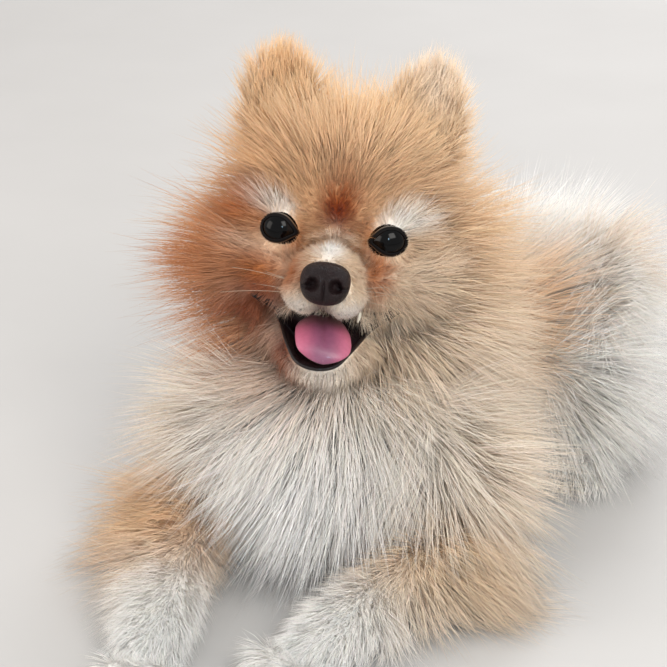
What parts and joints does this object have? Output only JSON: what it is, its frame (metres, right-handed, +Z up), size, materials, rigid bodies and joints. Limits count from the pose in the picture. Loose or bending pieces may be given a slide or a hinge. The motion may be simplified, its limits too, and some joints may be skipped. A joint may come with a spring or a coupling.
{
  "type": "pomeranian",
  "caption": "Life-size still model of a small fluffy spitz dog lying on its chest, head up, mouth open with the tongue showing.",
  "frame": {"origin": "on the floor under the middle of the rib cage, at the flat that the chest rests on", "axes": "+Z up; the chest faces -Y, the rump lies towards +Y and a little towards +X; +X is the dog's own left"},
  "size_m": [0.2566, 0.3756, 0.2268],
  "materials": {
    "coat_fawn": "long stand-off coat, fawn to rust",
    "coat_cream": "long stand-off coat, cream",
    "coat_white": "long stand-off coat, off-white",
    "nose_leather": "moist pebbled skin, dark brown",
    "tongue": "moist, pink",
    "eye": "polished, near black"
  },
  "bodies": {
    "root": {"head": "coat_fawn", "ear_left": "coat_fawn", "ear_right": "coat_fawn", "neck": "coat_fawn", "chest": "coat_cream", "lower_jaw": "coat_cream", "forearm_left": "coat_cream", "forearm_right": "coat_cream", "upper_arm_left": "coat_cream", "upper_arm_right": "coat_cream", "rump": "coat_white", "tail": "coat_white", "thigh_left": "coat_white", "thigh_right": "coat_white", "forepaw_left": "coat_white", "forepaw_right": "coat_white", "hind_paw_left": "coat_white", "hind_paw_right": "coat_white", "nose": "nose_leather", "tongue": "tongue", "eye_left": "eye", "eye_right": "eye"}
  },
  "joints": []
}
